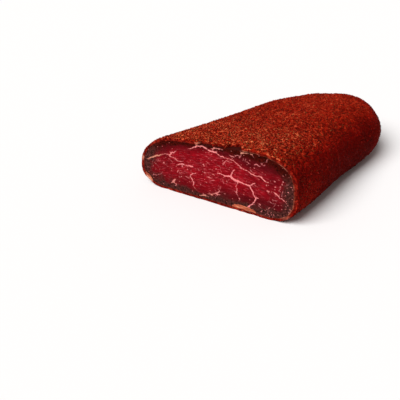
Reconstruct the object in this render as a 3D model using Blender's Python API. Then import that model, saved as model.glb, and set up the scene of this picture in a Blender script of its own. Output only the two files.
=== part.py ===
"""A cut piece of air-dried beef, pressed flat and coated with spice paste.

The piece lies on its flat base. The knife's cut faces -Y, the rounded far end points to +Y, and the
origin is at the middle of the footprint, on the surface that the piece lies on. Two solids make it up:
the dried beef, which shows at the cut, and the coat of spice paste, which wraps all but the cut.
"""

import bpy
import numpy as np

MM = 0.001

# Driving sizes, in millimetres
LENGTH = 174.5  # from the cut to the tip of the far end
REACH_RIGHT = 63.4  # at the cut, from the middle line to the right flank, with the coat
REACH_LEFT = 57.4  # and to the left flank
HEIGHT = 41.9  # thickness at the cut, before the base is pressed flat
PRESSED = 0.8  # how far the rounded base is pressed into its flat
COAT = 1.6  # thickness of the paste on top and underneath
COAT_RIGHT = 1.3  # it is this much thicker on the right flank
COAT_LEFT = 0.6  # and this much on the left
GAP = 0.3  # clearance that keeps the two solids apart

# How the piece changes from the cut to the far end
WIDTH_TAPER = 0.21  # share of the width that is lost by the tip
HEIGHT_TAPER = 0.135
LEAN = 21.4  # the middle line drifts this far to the right by the tip
END_IN_PLAN = 60.0  # stretch over which the outline rounds in, seen from above
END_FROM_SIDE = 25.0  # stretch over which top and base close, seen from the side
END_PLAN_POWER = 1.94
END_SIDE_POWER = 2.07

# The cross-section is four superellipse quarters, each with a power across and one upright
TOP_RIGHT_AT_CUT = (3.7, 2.95)
TOP_RIGHT_BEYOND = (2.6, 1.9)
SHOULDER = 0.45  # share of the length over which the right shoulder goes from the one to the other
TOP_LEFT = (4.5, 1.79)
BASE_RIGHT = (7.7, 1.91)
BASE_LEFT = (6.2, 2.4)
BELT = 0.43  # height of the widest line, as a share of the thickness
BELT_TILT = 0.053  # it stands higher on the right flank
CROWN_TILT = 0.087  # and the top rises to the right

# Where the paste has crumbled off the upper edge of the cut: middle across, half width, depth
CHIPS = ((-1.5, 5.5, 3.2), (9.0, 3.6, 3.0), (19.3, 5.8, 5.6))
CHIP_FADE = 9.0  # stretch behind a chip over which the rings return to their even spacing

# Relief
SWELL = 0.9  # height of the broad swells that pressing leaves in the meat
SWELL_WAVES = 6
SWELL_LENGTHS = (38.0, 95.0)  # shortest and longest wave
SWELL_SEED = 4
CRAG = 0.45  # greatest height of the paste's crags, one to each point of its mesh
CRAG_SEED = 11
FLAT_FADE = 2.5  # relief fades out over this height above the flat base

# How finely the solids are divided
SEGMENTS = 84  # round the section
BASE_WEIGHT = 0.4  # the flat base needs fewer points than the flanks and the top
BASE_BEGINS = (0.88, 0.96)  # downward sine of the section angle over which that weight sets in
PASTE_SIDE_RINGS = 30  # along the straight part of the outer surface
PASTE_END_RINGS = 20  # round its far end
MEAT_SIDE_RINGS = 8
MEAT_END_RINGS = 8
OUTLINE_SAMPLES = 1440  # steps in which the outline of the cut is measured

MEAT_COLOUR = (0.27, 0.018, 0.022, 1.0)
PASTE_COLOUR = (0.235, 0.026, 0.009, 1.0)


def end_round(y, length, power):
    """Falls from 1 to 0 over the last stretch before the tip, along a superellipse."""
    share = np.clip((y - (LENGTH - length)) / length, 0.0, 1.0)
    return (1.0 - share**power) ** (1.0 / power)


def section(angle, share):
    """Unit cross-section: place across from -1 to 1, height of the belt, and height from the belt."""
    c, s = np.cos(angle), np.sin(angle)
    right, top = c >= 0, s >= 0
    quarters = [top & right, top & ~right, ~top & ~right, ~top & right]
    beyond = np.clip(share / SHOULDER, 0.0, 1.0)
    top_right = [cut + (far - cut) * beyond for cut, far in zip(TOP_RIGHT_AT_CUT, TOP_RIGHT_BEYOND)]
    powers = (top_right, TOP_LEFT, BASE_LEFT, BASE_RIGHT)
    across_power = np.select(quarters, [p[0] for p in powers])
    upright_power = np.select(quarters, [p[1] for p in powers])
    across = np.sign(c) * np.abs(c) ** (2.0 / across_power)
    reach = np.abs(s) ** (2.0 / upright_power)
    belt = BELT + BELT_TILT * across
    crown = 1.0 + CROWN_TILT * across
    return across, belt, np.where(top, (crown - belt) * reach, -belt * reach)


def smooth_surface(y, angle):
    """Points of the pressed loaf, before relief, at distances y from the cut and angles round it."""
    share = y / LENGTH
    across, belt, from_belt = section(angle, share)
    reach = np.where(across > 0.0, REACH_RIGHT, REACH_LEFT)
    half_width = reach * (1.0 - WIDTH_TAPER * share) * end_round(y, END_IN_PLAN, END_PLAN_POWER)
    height = HEIGHT * (1.0 - HEIGHT_TAPER * share)
    close = end_round(y, END_FROM_SIDE, END_SIDE_POWER)
    x = LEAN * share + half_width * across
    z = np.maximum(height * (belt + from_belt * close) - PRESSED, 0.0)
    return np.stack([x, y + 0.0 * x, z], axis=-1)


def even_angles(distances):
    """For each ring, angles that divide its outline evenly, with fewer of them on the flat base."""
    dense = np.linspace(0.0, 2.0 * np.pi, OUTLINE_SAMPLES + 1)
    weight = np.interp(-np.sin(dense[1:]), BASE_BEGINS, (1.0, BASE_WEIGHT))
    angles = []
    for y in distances:
        outline = smooth_surface(np.full_like(dense, y), dense)
        step = np.linalg.norm(np.diff(outline, axis=0), axis=1)
        travelled = np.concatenate([[0.0], np.cumsum(weight * step)])
        angles.append(np.interp(np.arange(SEGMENTS) / SEGMENTS * travelled[-1], travelled, dense))
    return np.array(angles)


def ring_distances(side_rings, end_rings):
    """Distances of the rings from the cut: even along the side, then crowding towards the tip."""
    straight = LENGTH - END_IN_PLAN
    side = np.linspace(0.0, straight, side_rings + 1)
    turn = np.linspace(0.0, np.pi / 2, end_rings + 1)[1:-1]
    return np.concatenate([side, straight + END_IN_PLAN * np.sin(turn)])


def outward(points):
    """Unit normals of a grid of points, from its neighbours along and round it."""
    along = np.gradient(points, axis=0)
    round_it = np.roll(points, -1, axis=1) - np.roll(points, 1, axis=1)
    normal = np.cross(along, round_it)
    return normal / np.maximum(np.linalg.norm(normal, axis=-1, keepdims=True), 1e-9)


def swell(points):
    """Height of the broad swells: a few plane waves with seeded directions, lengths and phases."""
    draw = np.random.default_rng(SWELL_SEED)
    height = np.zeros(points.shape[:-1])
    for _ in range(SWELL_WAVES):
        direction = draw.normal(size=3)
        direction /= np.linalg.norm(direction)
        turns = 2.0 * np.pi / draw.uniform(*SWELL_LENGTHS)
        height += np.sin(turns * (points @ direction) + draw.uniform(0.0, 2.0 * np.pi))
    return SWELL * height / SWELL_WAVES


def loaf(y, angles, inset=0.0, crags=0.0):
    """Grid of points on the loaf, one row to a ring, moved inwards by inset and roughened by crags."""
    points = smooth_surface(y, angles)
    normal = outward(points)
    clear_of_base = np.clip(points[..., 2] / FLAT_FADE, 0.0, 1.0)
    moved = (swell(points) + crags) * clear_of_base - inset
    placed = points + normal * moved[..., None]
    placed[0, :, 1] = points[0, :, 1]
    placed[..., 1] = np.maximum(placed[..., 1], points[:1, :, 1])
    placed[..., 2] = np.maximum(placed[..., 2], 0.0)
    return placed


def tip(inset):
    """The point that closes the far end."""
    middle = smooth_surface(np.array(LENGTH), np.array(0.0))
    return middle + np.array([0.0, swell(middle) - inset, 0.0])


def coat_thickness(angles):
    sideways = np.cos(angles)
    return COAT + np.where(sideways > 0.0, COAT_RIGHT, COAT_LEFT) * sideways**4


def chip_depth(angles):
    """How far the lip of the paste is drawn back from the cut, on the upper edge only."""
    x = smooth_surface(np.zeros_like(angles), angles)[:, 0]
    depth = np.zeros_like(angles)
    for middle, half_width, deepest in CHIPS:
        bite = np.clip(1.0 - ((x - middle) / half_width) ** 2, 0.0, 1.0)
        depth = np.maximum(depth, deepest * np.sqrt(bite))
    return np.where(np.sin(angles) > 0.0, depth, 0.0)


def grid_faces(first, rings, outside):
    """Triangles between the rings and to the tip, which follows the last ring.

    Both skins and the meat are split along the same diagonals, so their facets stay parallel.
    """
    around = np.arange(SEGMENTS)
    after = (around + 1) % SEGMENTS
    faces = []
    for ring in range(rings - 1):
        low = first + ring * SEGMENTS
        high = low + SEGMENTS
        faces += [[low + a, high + a, high + b] for a, b in zip(around, after)]
        faces += [[low + a, high + b, low + b] for a, b in zip(around, after)]
    last = first + (rings - 1) * SEGMENTS
    point = last + SEGMENTS
    faces += [[last + a, point, last + b] for a, b in zip(around, after)]
    return faces if outside else [face[::-1] for face in faces]


def material(name, colour, roughness):
    made = bpy.data.materials.new(name)
    made.use_nodes = True
    shader = made.node_tree.nodes["Principled BSDF"]
    shader.inputs["Base Color"].default_value = colour
    shader.inputs["Roughness"].default_value = roughness
    return made


def add_object(name, points, faces, footprint_middle, surface):
    """Makes the named object from points in millimetres, measured from the cut."""
    mesh = bpy.data.meshes.new(name)
    mesh.from_pydata((points * MM).tolist(), [], [[int(i) for i in face] for face in faces])
    mesh.validate()
    mesh.shade_smooth()
    mesh.set_sharp_from_angle(angle=np.radians(50.0))
    mesh.materials.append(surface)
    made = bpy.data.objects.new(name, mesh)
    made.location = -footprint_middle * MM
    bpy.context.scene.collection.objects.link(made)
    return made


def dried_beef(footprint_middle):
    """The meat: the loaf less its coat, closed by the flat cut."""
    y = ring_distances(MEAT_SIDE_RINGS, MEAT_END_RINGS)[:, None]
    angles = even_angles(y)
    rings = loaf(y, angles, coat_thickness(angles) + GAP)
    points = np.concatenate([rings.reshape(-1, 3), [tip(COAT + GAP)]])
    cut = list(range(SEGMENTS))
    faces = grid_faces(0, len(rings), outside=True) + [cut]
    surface = material("dried_beef", MEAT_COLOUR, 0.42)
    return add_object("dried_beef", points, faces, footprint_middle, surface)


def paste_coat(footprint_middle):
    """The coat: a craggy outer skin and a smooth inner one, joined by the lip round the cut."""
    y = ring_distances(PASTE_SIDE_RINGS, PASTE_END_RINGS)[:, None]
    angles = even_angles(y)
    lip = chip_depth(angles[0])
    crags = CRAG * np.random.default_rng(CRAG_SEED).uniform(-1.0, 1.0, angles.shape)
    crags *= end_round(y, END_IN_PLAN, END_PLAN_POWER)
    outer = loaf(y + lip * np.exp(-y / CHIP_FADE), angles, 0.0, crags)
    y = ring_distances(MEAT_SIDE_RINGS, MEAT_END_RINGS)[:, None]
    angles = even_angles(y)
    inner = loaf(y, angles, coat_thickness(angles))
    inner[0] += (inner[1] - inner[0]) * (lip / y[1])[:, None]
    points = np.concatenate([outer.reshape(-1, 3), [tip(0.0)], inner.reshape(-1, 3), [tip(COAT)]])
    inner_first = outer.shape[0] * SEGMENTS + 1
    around = range(SEGMENTS)
    rim = [[a, (a + 1) % SEGMENTS, inner_first + (a + 1) % SEGMENTS, inner_first + a] for a in around]
    outside = grid_faces(0, len(outer), outside=True)
    inside = grid_faces(inner_first, len(inner), outside=False)
    surface = material("spice_coat", PASTE_COLOUR, 0.85)
    return add_object("spice_coat", points, outside + inside + rim, footprint_middle, surface)


def clear_scene():
    for old in list(bpy.data.objects):
        bpy.data.objects.remove(old, do_unlink=True)


def main():
    clear_scene()
    y = ring_distances(PASTE_SIDE_RINGS, PASTE_END_RINGS)[:, None]
    plan = smooth_surface(y, even_angles(y))
    low, high = plan[..., 0].min(), plan[..., 0].max()
    footprint_middle = np.array([(low + high) / 2, LENGTH / 2, 0.0])
    dried_beef(footprint_middle)
    paste_coat(footprint_middle)


main()
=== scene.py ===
"""The looks of a cut piece of air-dried beef in its coat of spice paste.

Lengths here are millimetres, measured from the knife's cut: x runs to the right along the cut, y from the
cut to the far end, and z up. place_in_frame turns them into metres in the shared frame.
"""

import bpy
import numpy as np
from mathutils import Matrix, Vector


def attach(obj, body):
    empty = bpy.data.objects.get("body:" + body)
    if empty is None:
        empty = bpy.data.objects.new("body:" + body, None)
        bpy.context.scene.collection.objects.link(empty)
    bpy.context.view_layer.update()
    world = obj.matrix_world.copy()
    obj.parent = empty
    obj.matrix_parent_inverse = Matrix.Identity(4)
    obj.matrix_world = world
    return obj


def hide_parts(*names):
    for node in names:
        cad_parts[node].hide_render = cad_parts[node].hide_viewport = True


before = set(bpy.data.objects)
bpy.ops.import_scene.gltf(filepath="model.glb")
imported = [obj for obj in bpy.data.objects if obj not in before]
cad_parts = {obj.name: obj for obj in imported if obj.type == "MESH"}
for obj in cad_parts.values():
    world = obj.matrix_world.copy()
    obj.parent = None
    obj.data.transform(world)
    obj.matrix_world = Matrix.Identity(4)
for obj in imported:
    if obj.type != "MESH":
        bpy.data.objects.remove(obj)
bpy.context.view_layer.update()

MM = 0.001
TURN = 2 * np.pi

# The form, as in the construction
LENGTH = 174.5
REACH_RIGHT = 63.4
REACH_LEFT = 57.4
HEIGHT = 41.9
PRESSED = 0.8
COAT = 1.6
COAT_RIGHT = 1.3
COAT_LEFT = 0.6
GAP = 0.3
WIDTH_TAPER = 0.21
HEIGHT_TAPER = 0.135
LEAN = 21.4
END_IN_PLAN = 60
END_FROM_SIDE = 25
END_PLAN_POWER = 1.94
END_SIDE_POWER = 2.07
TOP_RIGHT_AT_CUT = (3.7, 2.95)
TOP_RIGHT_BEYOND = (2.6, 1.9)
SHOULDER = 0.45
TOP_LEFT = (4.5, 1.79)
BASE_RIGHT = (7.7, 1.91)
BASE_LEFT = (6.2, 2.4)
BELT = 0.43
BELT_TILT = 0.053
CROWN_TILT = 0.087
CHIPS = ((-1.5, 5.5, 3.2), (9, 3.6, 3), (19.3, 5.8, 5.6))  # middle across, half width, depth
CHIP_FADE = 9
SWELL = 0.9
SWELL_WAVES = 6
SWELL_LENGTHS = (38, 95)
SWELL_SEED = 4
FLAT_FADE = 2.5
BASE_WEIGHT = 0.4
BASE_BEGINS = (0.88, 0.96)
OUTLINE_SAMPLES = 1440
PLAN_RINGS = (30, 20)  # side and end rings over which the footprint's middle is measured
PLAN_SEGMENTS = 84

# How finely the pieces are divided
COAT_SEGMENTS = 352
COAT_LIP_ROWS = (0, 0.2, 0.5, 0.9, 1.4)
COAT_SIDE_RINGS = 142
COAT_END_RINGS = 98
COAT_RIM_ROWS = 5
COAT_INNER_ROWS = (0, 2, 4.5, 8)
COAT_INNER_RINGS = (5, 5)
MEAT_COLUMNS = 450
MEAT_FACE_ROWS = 130
MEAT_SIDE_ROWS = (0, 0.6, 1.6, 3, 5, 8)
MEAT_RINGS = (4, 5)

# Layers of noise: cell size, height and seed of each
PASTE_RELIEF = ((8, 0.1, 21), (3.9, 0.14, 22), (1.9, 0.28, 23), (1.1, 0.22, 24))
TONE_CLOUDS = ((19, 0.035, 25), (8, 0.02, 26))
ROUTE_WARP = (((3.2, 0.3, 41), (1.2, 0.34, 43)), ((3.2, 0.3, 42), (1.2, 0.34, 44)))
LIP_NOISE = ((2.2, 1, 71), (5, 0.6, 72))
LIP_RAGGED = 0.55  # how far the lip of the paste is broken back from the cut, at most
RIM_RAGGED = 0.35  # and how far its broken face is sunk
CHIP_UNEVEN = 0.22  # share of a chip's depth by which its edge wavers
NOISE_TABLE = 64  # the noise repeats after this many cells

# Crumbs are calmer and flatter towards the far end and down the flanks
SOFT_FAR = 0.36
SOFT_FLANK = 0.7
SOFT_MOST = 0.82
SOFT_RELIEF = 0.5  # share of the relief that goes where the crumbs are fully soft
SOFT_LIFT = 0.7  # and of the height by which grains stand out

# Tone of the paste
TONE_LOWER = 0.012
TONE_BEYOND_CUT = 0.035
# Painted shade on the flanks, where the paste turns away from up
FLANK_PAINTED_SHADE = (0.05, 0.13, 0.27)  # at the cut, 30 mm from it and at the far end
# Share of orange dusting on up-facing paste, which is partly painted light on the top
TOP_LIGHT_AND_DUSTING = (1, 0.85, 0.95)  # at the cut, 60 mm from it and at the far end

# Lighter and darker patches of the paste, partly its own tone and partly painted light and shade on the
# shoulder, flanks, lip and far end: across, distance from the cut, height, radius, change of tone
PATCHES_AND_PAINTED_LIGHT = (
    (12, 14, 41, 15, 0.05), (-8, 16, 40, 12, 0.05), (55, 4, 36, 11, -0.16),
    (-6, 76, 37.5, 20, -0.03), (34, 112, 37, 18, 0.02), (60, 76, 31, 15, -0.15),
    (66, 58, 22, 12, -0.04), (12, 45, 40, 14, -0.01), (56, 26, 37, 14, -0.17),
    (60, 108, 30, 17, -0.22), (68, 120, 10, 15, 0.2), (60, 52, 32, 13, -0.07),
    (-20, 84, 35, 14, 0.04),
    (-30, 26, 37, 18, 0.08), (20, 130, 36, 24, -0.03), (64, 30, 20, 16, -0.03),
    (30, 60, 39, 20, -0.03), (36, 165, 20, 18, -0.09),
    (66, 14, 10, 11, 0.12), (60, 0, 26, 8, -0.16), (60, 0, 10, 7, -0.12),
    (40, 152, 30, 18, -0.06),
)

# Marbling at the cut: paleness, share of cream, then points of (across, height, half thickness)
VEINS = (
    (1, 0.1, ((-14.8, 34.3, 0.2), (-10.8, 35.6, 0.3), (-7.7, 37, 0.38), (-6, 37.9, 0.52),
            (-2.5, 37.9, 0.56), (1.9, 36.6, 0.5), (5.4, 36.2, 0.5), (7.4, 35.8, 0.4),
            (9.8, 34.3, 0.42), (14, 34, 0.36), (19.1, 33.4, 0.2), (23.3, 31.3, 0.24),
            (25.7, 29.6, 0.34), (29.4, 29, 0.28), (31.8, 27.6, 0.28), (35.6, 27.3, 0.4),
            (38.7, 26.8, 0.44), (41.8, 24.4, 0.36), (43.7, 24.7, 0.2))),
    (0.9, 0.5, ((-10.4, 39.4, 0.4), (-8.4, 38.4, 0.6), (-6.6, 38, 0.6))),
    (0.9, 0.5, ((-6.4, 39.4, 0.5), (-6.6, 38.4, 0.5), (-6, 37.9, 0.4))),
    (0.9, 0.4, ((4.6, 37.8, 0.3), (6, 38.6, 0.6), (6.6, 39.6, 0.6))),
    (0.8, 0.4, ((6.4, 38.8, 0.4), (9.8, 38.9, 0.34), (12.4, 39.1, 0.2))),
    (0.7, 0.1, ((16.7, 36.4, 0.22), (18.4, 36.1, 0.3), (20.5, 35.9, 0.26), (21.5, 37, 0.3),
            (23.2, 37.4, 0.34), (23.8, 36.2, 0.3))),
    (0.6, 0, ((12.3, 29.6, 0.34), (13.6, 30.9, 0.26), (15, 32, 0.26), (17.8, 31.6, 0.2))),
    (0.6, 0, ((29, 34.9, 0.26), (30.5, 33.9, 0.3), (31.8, 33.7, 0.2))),
    (0.6, 0, ((34.3, 34, 0.22), (36, 34.2, 0.32), (38.2, 33.9, 0.2))),
    (0.85, 0.9, ((25, 39.3, 0.3), (27, 39.7, 0.42), (30, 40.1, 0.26), (33, 40.1, 0.15))),
    (1, 0, ((8.1, 22.3, 0.3), (11.2, 22.6, 0.42), (14, 22.1, 0.48), (16.6, 22.3, 0.72),
            (18.6, 21.5, 0.86), (21.4, 20.6, 0.84), (24.6, 20.4, 0.62), (28.8, 19.5, 0.4),
            (31, 19.1, 0.48), (32.9, 16.5, 0.36), (34.4, 13.2, 0.34), (35.3, 11.3, 0.4),
            (34.2, 8.8, 0.34), (32.6, 6.8, 0.38), (30.3, 5, 0.34))),
    (0.9, 0, ((17.2, 22.3, 0.5), (18.2, 24.4, 0.4), (19.1, 25.5, 0.4), (20.4, 27.5, 0.3))),
    (0.9, 0, ((30.8, 19.2, 0.5), (33.2, 20.9, 0.36), (35, 21.8, 0.22))),
    (0.85, 0, ((22.6, 20.3, 0.5), (21.9, 18.2, 0.32), (21.2, 16.3, 0.2))),
    (0.8, 0, ((22.2, 15.4, 0.24), (21.9, 13.4, 0.32), (21.5, 12.6, 0.34), (22.2, 11.6, 0.4))),
    (0.75, 0, ((23.5, 9.2, 0.3), (24.1, 8.6, 0.42))),
    (0.9, 0, ((35.4, 12, 0.4), (36.9, 12.5, 0.4))),
    (0.85, 0.9, ((-51.2, 19.2, 0.3), (-49.6, 20, 0.46), (-46.9, 21.7, 0.52), (-43.5, 23.4, 0.56),
            (-39.6, 25, 0.52), (-38.2, 25.5, 0.4))),
    (0.72, 0.2, ((-39, 25.2, 0.36), (-35.2, 26.3, 0.4), (-32.2, 26.9, 0.46), (-30.4, 26.7, 0.62))),
    (0.85, 0, ((-30.9, 25.9, 0.4), (-29.7, 27.5, 0.5), (-27.2, 29.2, 0.42), (-24.5, 30.8, 0.26))),
    (0.75, 0, ((-30.2, 26.1, 0.4), (-27, 25.4, 0.34), (-23.9, 24.1, 0.34), (-19.1, 24.5, 0.22))),
    (0.9, 0, ((-25.6, 20.2, 0.26), (-22.5, 22, 0.44), (-19.1, 22.6, 0.36), (-15.7, 22.2, 0.34),
            (-11.9, 22.5, 0.44))),
    (0.8, 0, ((-20.7, 22, 0.34), (-20.1, 20.2, 0.22))),
    (0.55, 0, ((-25, 15.6, 0.26), (-24.2, 17, 0.3), (-21.3, 17.6, 0.2))),
    (0.85, 0, ((-9.3, 18.5, 0.26), (-11.2, 17.7, 0.32), (-13.8, 15.6, 0.36), (-12.4, 13.2, 0.36),
            (-11.5, 11, 0.32), (-12, 9.4, 0.34), (-12.4, 8.4, 0.36))),
    (0.45, 0.2, ((-12, 8.2, 0.3), (-10.6, 6.9, 0.3), (-9.2, 5.9, 0.2))),
    (0.85, 0.4, ((-30.9, 6.2, 0.3), (-29.1, 7.6, 0.72), (-27, 9.5, 0.36))),
    (0.75, 0.4, ((-29.1, 7.6, 0.6), (-27.3, 6.4, 0.4), (-26.6, 5.6, 0.26))),
    (0.85, 0.75, ((-7.6, 3, 0.3), (-5.3, 3.4, 0.42), (-3, 4.1, 0.5), (0.5, 4.6, 0.52),
                  (2.6, 5.5, 0.5), (4.2, 7, 0.46))),
    (0.85, 0.2, ((3.9, 6.8, 0.42), (5.6, 7.6, 0.42), (8.5, 7.3, 0.4), (10, 8, 0.22))),
    (0.7, 0.1, ((6.6, 7.6, 0.4), (7.8, 8.9, 0.3), (9, 10.6, 0.2))),
    (0.9, 0.1, ((47, 19.6, 0.2), (49.4, 18.2, 0.42), (52.1, 16.7, 0.3), (54.4, 15.5, 0.32))),
    (0.5, 0, ((-47.5, 8, 0.24), (-43.5, 9.2, 0.3), (-40.5, 10.3, 0.24))),
)

# Pale and tan spots on the cut lip of the paste: across, height, half sizes, weight
BLANCHED = (
    (28, 40.6, 3, 0.8, 0.6), (-56, 20.5, 2, 3, 0.6), (-51.8, 4.6, 3.8, 4.6, 1),
    (-7.4, 39.8, 1.8, 1.3, 0.5), (58, 4, 6, 3, 0.15),
)

VEIN_HAIRS = 0.16  # share of the points along a vein that send out a hair
VEIN_SHRUNK = 0.02  # every vein is this much thinner on each side than its route says

# Single flecks of fat: across, height, radius
FLECKS = (
    (-2.9, 26, 0.55), (-2.1, 25, 0.5), (-3.2, 20.7, 0.5), (-2, 20.6, 0.55), (-0.9, 20.2, 0.4),
    (3.3, 20.6, 0.36), (4.6, 20.6, 0.44), (5.7, 20.4, 0.36), (1.2, 17.8, 0.5), (2.2, 17.6, 0.6),
    (7.1, 24.8, 0.44), (-21.8, 12.9, 0.46), (-16, 19.4, 0.44), (-36.3, 20.1, 0.56), (-1.9, 13.7, 0.5),
    (-6, 11, 0.5), (47.7, 26.5, 0.6), (52.8, 27.2, 0.5), (52.3, 25.7, 0.5), (51.4, 23.4, 0.6),
    (48.2, 22.9, 0.46), (42.5, 22.5, 0.62), (43.5, 18.9, 0.66), (58.3, 25.4, 0.46), (56.6, 21.7, 0.46),
    (52.5, 35.7, 0.4), (58, 10.7, 0.46), (38.4, 8.6, 0.5), (47.7, 4.3, 0.5), (39.4, 3.9, 0.5),
    (19.4, 33.6, 0.4), (34.4, 31.7, 0.4), (12, 31.3, 0.36), (17.2, 28.3, 0.4), (44.6, 26.3, 0.3),
)

# Hard tallow left on the outside: half thickness along each strip
TALLOW = (
    ((18.9, 2, 0.9), (21.4, 2.9, 1.3), (24.5, 3.2, 1.35), (28, 3.3, 1.3), (31.2, 3.4, 1.1),
     (33.8, 2.8, 0.7), (35.6, 2, 0.3)),
    ((-55, 8.6, 0.8), (-53.6, 6.4, 2.6), (-51.6, 4.4, 3), (-49.4, 3, 1.6)),
)

# The dried rim of the meat, by bearing from the middle of the cut: degrees, width inwards, darkness
FACE_MIDDLE = (5, 20.5)
FACE_HALF = (60.5, 19.8)
DRIED_RIM = (
    (0, 7.6, 0.72), (22, 6.2, 0.82), (42, 5, 1), (66, 3.8, 1), (80, 2, 0.88),
    (97, 1, 0.8), (113, 2.2, 1), (138, 3, 1), (158, 5.4, 0.92), (180, 7, 0.9),
    (204, 7, 0.88), (224, 5.6, 0.86), (246, 4.2, 0.86), (266, 3, 0.85), (281, 4.8, 0.92),
    (300, 5.6, 0.9), (322, 5.6, 0.88), (345, 7, 0.75), (360, 7.6, 0.72),
)

# Duller places in the lean: middle across, middle height, half width, half height, weight
DULL = (
    (42, 7, 14, 6, 0.75), (17, 9, 14, 5.5, 0.38), (34, 10, 8, 5, 0.2),
    (-36, 33, 14, 5, 0.3), (40, 34.5, 12, 5, 0.45),
)

# How far the lean deepens to maroon
DEEP_MOST = 0.88
DEEP_SIDES = ((24, 54, 0.46), (-14, -46, 0.34))  # across where it begins and is full, and weight
DEEP_ABOVE_VEIN = 0.4

# Where fine flecks are thick: middle across, middle height, half width, half height, share of cells
FLECKED = (
    (-10, 14, 22, 7, 0.36), (27, 33, 16, 4.5, 0.42), (54, 20, 11, 15, 0.72),
    (4, 22, 12, 6, 0.42), (-40, 16, 16, 8, 0.36), (44, 5, 14, 4, 0.45),
)
FIBRE_RISE = 0.016  # upward slope of the fibres in the middle of the cut
FIBRE_BEND = -2.15  # half the change of that slope for every metre to the right
FIBRE_STRETCH = (5.5, 3, 1)
FLECK_STRETCH = (1.9, 1, 1)
FLECK_FLOOR = 0.14  # share of cells that hold a fleck everywhere else

# Colours, as red, green and blue: one, or two from dark to light, or a ramp's stops
LEAN_REDS = ((0.22, 0.0022, 0.0062), (0.39, 0.0048, 0.0125))
LEAN_SHADE = (0.17, 0.002, 0.005)
LEAN_FIBRE = (0.09, 0.0008, 0.0028)
LEAN_THREAD = (0.7, 0.105, 0.13)
LEAN_DEEP = (0.07, 0.0024, 0.0042)
DRIED = ((0.003, 0.0006, 0.0004), (0.104, 0.028, 0.023))
CHARRED = ((0.005, 0.0005, 0.0002), (0.078, 0.0045, 0.002))
CRUST = (0.045, 0.0075, 0.006)
FAT_FLECK = (0.74, 0.2, 0.18)
FAT_PINK = (0.84, 0.25, 0.25)
FAT_CREAM = (0.6, 0.27, 0.165)
FAT_SHADE = (0.6, 0.13, 0.13)
TALLOW_STOPS = ((0, (0.26, 0.042, 0.02)), (0.5, (0.44, 0.105, 0.053)), (1, (0.7, 0.25, 0.14)))
PASTE_STOPS = (
    (0.1, (0.065, 0.0008, 0.0002)), (0.32, (0.16, 0.0018, 0.0005)), (0.5, (0.3, 0.0048, 0.0013)),
    (0.7, (0.5, 0.018, 0.0065)), (0.9, (0.8, 0.1, 0.046)),
)
# Painted shade in the pits of the paste
PASTE_PIT_SHADE = (0.06, 0.0012, 0.0005)
CUT_PASTE_STOPS = ((0, (0.05, 0.003, 0.002)), (0.5, (0.13, 0.0055, 0.0028)), (1, (0.27, 0.022, 0.01)))
BLANCHED_PASTE = ((0.5, 0.13, 0.04), (0.8, 0.38, 0.27))
# Tint of the dusting, which partly paints the light on the top
TOP_LIGHT_AND_DUSTING_TINT = (1.08, 2.4, 2)
CRUMB_TINTS = ((0.86, 0.28, 0.18), (1.12, 2.1, 2.5))

# Kinds of grain: count, least and most size, flatness, share sunk in, gathering, roughness, colours
GRAINS = (
    ("paprika_crumbs", 9800, (0.55, 1.35), 0.7, 0.3, (1.4, 1, 0.7, 0.6), 0.7,
     ((0.1, 0.0015, 0.0004), (0.32, 0.006, 0.0015), (0.58, 0.03, 0.012))),
    ("paprika_dust", 9800, (0.4, 0.95), 0.8, 0.25, (0.8, 1, 1.2, 0), 0.75,
     ((0.13, 0.002, 0.0005), (0.4, 0.0092, 0.0024), (0.76, 0.054, 0.024))),
    ("pepper_crumbs", 7400, (0.45, 1.25), 0.75, 0.3, (1.5, 1, 0.7, 1.05), 0.6,
     ((0.036, 0.0012, 0.0005), (0.096, 0.0025, 0.0009), (0.18, 0.0065, 0.0022))),
    ("chilli_flakes", 4200, (0.8, 1.9), 0.22, 0.35, (1.4, 1, 0.7, 0.6), 0.45,
     ((0.22, 0.0034, 0.0008), (0.5, 0.0135, 0.0036), (0.76, 0.074, 0.033))),
    ("fenugreek_grains", 1500, (0.5, 1.15), 0.75, 0.35, (2.4, 0.6, 0.1, 1), 0.65,
     ((0.1, 0.014, 0.004), (0.24, 0.042, 0.014), (0.42, 0.08, 0.032))),
)
GRAIN_MIDWAY = 70
GRAIN_SEED = 81  # of the first kind, and one more for each kind after it

# Studio
KEY_STRENGTH = 3.95
KEY_WIDTH = 44  # degrees across, which softens the shadow's edge
KEY_FROM = (-0.135, -0.64, 0.756)
SURROUND_SEEN = 1.05
SURROUND_LIGHT = 0.24
SURROUND_COLOUR = (1, 0.86, 0.82, 1)
FLOOR_HALF = 4.0  # metres
FLOOR_SEEN = (0.86, 0.86, 0.86)
FLOOR_BOUNCE = (0.62, 0.62, 0.62)

# Camera, fitted to the outline of the piece in the photograph of 400 x 400 pixels
PHOTO_SIZE = 400
FOCAL_PIXELS = 467
CAMERA_HEIGHT_ANGLE = 21.6033
CAMERA_TURN = 29.2697
CAMERA_DISTANCE = 353.39
AIM = (0, 70, 15)
AIM_PIXEL = (261.1713, 144.8415)
SENSOR = 36


def smooth_step(low, high, value):
    """Rises from 0 at low to 1 at high along 3t^2 - 2t^3."""
    t = np.clip((value - low) / (high - low), 0, 1)
    return t * t * (3 - 2 * t)


def end_round(y, length, power):
    """Falls from 1 to 0 over the last stretch before the tip, along a superellipse."""
    share = np.clip((y - (LENGTH - length)) / length, 0, 1)
    return (1 - share**power) ** (1 / power)


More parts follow.
